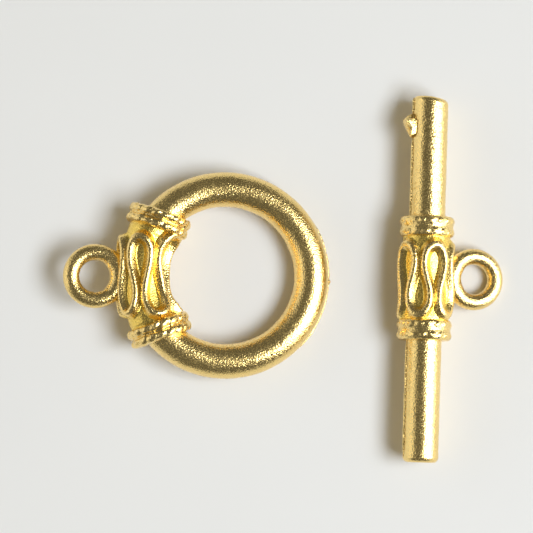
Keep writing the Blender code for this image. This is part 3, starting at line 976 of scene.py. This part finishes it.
# %% [markdown]
# ## Setting both halves down
#
# Each half was made flat round its own middle. The ring half leans until it rests on its
# collars and on the far side of the hoop. The bar half rolls until it rests on its section
# and its eye. The two middles are where the CAD model has them, in metres. The place goes
# into the mesh and the object stays at the origin, so that the plate's patterns, which read
# the object's own coordinates, keep their size and place.

# %% Set both halves down
RING_CENTRE = Vector((-0.003657, 0.000241, 0.001607))
RING_LEAN = math.asin(
    (RING_COLLAR_DIAMETER / 2 - HOOP_WIRE_RADIUS) / (HOOP_RADIUS - collar_x))
RING_TURN = math.radians(0.7)
BAR_CENTRE = Vector((0.008823, 0.000021, 0.001830))
BAR_LEAN = math.radians(16.8145)
BAR_TURN = math.radians(-1.9)


def set_down(piece, centre, lean, turn, node):
    """Leans and turns a piece, brings it to metres and puts it where its CAD node is."""
    turned = (Matrix.Rotation(turn, 3, "Z") @ Matrix.Rotation(lean, 3, "Y")).to_4x4()
    piece.data.transform(Matrix.Translation(centre) @ turned @ Matrix.Scale(METRES_PER_MM, 4))
    piece.data.materials.clear()
    piece.data.materials.append(gold)
    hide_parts(node)
    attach(piece, "root")


for piece in ring_pieces:
    set_down(piece, RING_CENTRE, RING_LEAN, RING_TURN, "toggle_ring")
for piece in bar_pieces:
    set_down(piece, BAR_CENTRE, BAR_LEAN, BAR_TURN, "toggle_bar")

# %% [markdown]
# ## The table
#
# The clasp lies on a plain pale sheet of paper half a metre wide. Matt paper has hardly any
# gloss, and its fibres settle in faint clouds that make its tone uneven by a shade.

# %% Floor
FLOOR_SIZE = 0.5
CLOUD_SIZE = 14.0

floor_mesh = bpy.data.meshes.new("floor")
reach = FLOOR_SIZE / 2
corners = [(-reach, -reach, 0), (reach, -reach, 0), (reach, reach, 0), (-reach, reach, 0)]
floor_mesh.from_pydata(corners, [], [(0, 1, 2, 3)])
floor = add_object("floor", floor_mesh)
paper = bpy.data.materials.new("pale_paper")
paper.use_nodes = True
tree = paper.node_tree
tree.nodes.clear()
place = add_node(tree, "ShaderNodeTexCoord").outputs["Object"]
clouds = add_node(tree, "ShaderNodeTexNoise", {
    "Vector": place, "Scale": per_metre(CLOUD_SIZE), "Detail": 3.0})
tint = add_node(tree, "ShaderNodeMix", {
    0: clouds.outputs["Fac"], 6: linear("#e6e7e4"), 7: linear("#e9eae7")}, data_type="RGBA")
shader = add_node(tree, "ShaderNodeBsdfPrincipled", {
    "Base Color": tint.outputs[2], "Roughness": 0.8})
add_node(tree, "ShaderNodeOutputMaterial", {"Surface": shader.outputs["BSDF"]})
floor_mesh.materials.append(paper)
print("the sheet is", FLOOR_SIZE, "m wide")

# %% [markdown]
# ## Light
#
# Two things have to come right, and they ask for different lights. The shadows on the table
# are short and soft-edged, so one compact softbox stands high on the right and lights the
# table. Polished metal shows the room and not itself, so its light is set by what each side
# of a wire reflects. A wire that runs up and down has a dark line just left of its crest, a
# white highlight right of it that begins softly, and a pale gold left side. So three panels
# follow each other on the right from nearly overhead to low down, the space above the camera
# is dark, and a white card stands low on the left. A lamp's ray visibility keeps the two
# jobs apart: the softbox isn't seen by glossy rays, and the strong panels aren't seen by
# diffuse ones. The room does the same with the Light Path node: dark in the metal, brighter
# for the shadows, and pale where the camera looks past the sheet. The softbox is a little
# cool and the light that fills the shadows is warm, as if it had come off the gold. Where
# both reach the paper it stays white, and beside the metal it turns olive.

# %% Softbox, panels and card
LIGHT_DISTANCE = 0.5
PANEL_WHITE = linear("#fafcff")


def area_light(name, azimuth, elevation, size, radiance, colour):
    """A rectangular light that faces the clasp. Radiance is what a mirror would show of it."""
    data = bpy.data.lights.new(name, "AREA")
    data.shape = "RECTANGLE"
    data.size, data.size_y = size
    data.energy = radiance * math.pi * size[0] * size[1]
    data.color = colour[:3]
    lamp = add_object(name, data)
    a, e = math.radians(azimuth), math.radians(elevation)
    direction = Vector((math.cos(e) * math.cos(a), math.cos(e) * math.sin(a), math.sin(e)))
    lamp.location = direction * LIGHT_DISTANCE
    lamp.rotation_euler = direction.to_track_quat("Z", "Y").to_euler()
    return lamp


softbox = area_light("softbox", -20, 58, (0.30, 0.20), 13.2, linear("#eef4ff"))
softbox.visible_glossy = False
high_panel = area_light("high_panel", -8, 52, (0.36, 0.15), 10.0, PANEL_WHITE)
high_panel.visible_diffuse = False
area_light("top_panel", -8, 70, (0.36, 0.16), 0.34, PANEL_WHITE)
low_panel = area_light("low_panel", -8, 26, (0.42, 0.30), 4.6, PANEL_WHITE)
low_panel.visible_diffuse = False
area_light("card", 175, 20, (0.55, 0.36), 0.88, linear("#fffdf8"))
print("the softbox gives", round(softbox.data.energy, 2), "watts")

# %% The room
world = bpy.data.worlds.new("studio")
world.use_nodes = True
bpy.context.scene.world = world
tree = world.node_tree
tree.nodes.clear()
dark = add_node(tree, "ShaderNodeBackground", {"Color": linear("#656563"), "Strength": 1.0})
soft = add_node(tree, "ShaderNodeBackground", {"Color": linear("#867a61"), "Strength": 1.0})
pale = add_node(tree, "ShaderNodeBackground", {"Color": linear("#e6e5e3"), "Strength": 1.0})
seen = add_node(tree, "ShaderNodeLightPath")
lit = add_node(tree, "ShaderNodeMixShader", {
    0: seen.outputs["Is Glossy Ray"], 1: soft.outputs[0], 2: dark.outputs[0]})
room = add_node(tree, "ShaderNodeMixShader", {
    0: seen.outputs["Is Camera Ray"], 1: lit.outputs[0], 2: pale.outputs[0]})
add_node(tree, "ShaderNodeOutputWorld", {"Surface": room.outputs[0]})
bpy.context.scene.view_settings.view_transform = "Standard"
bpy.context.scene.view_settings.look = "None"
print("the room has", len(tree.nodes), "nodes")
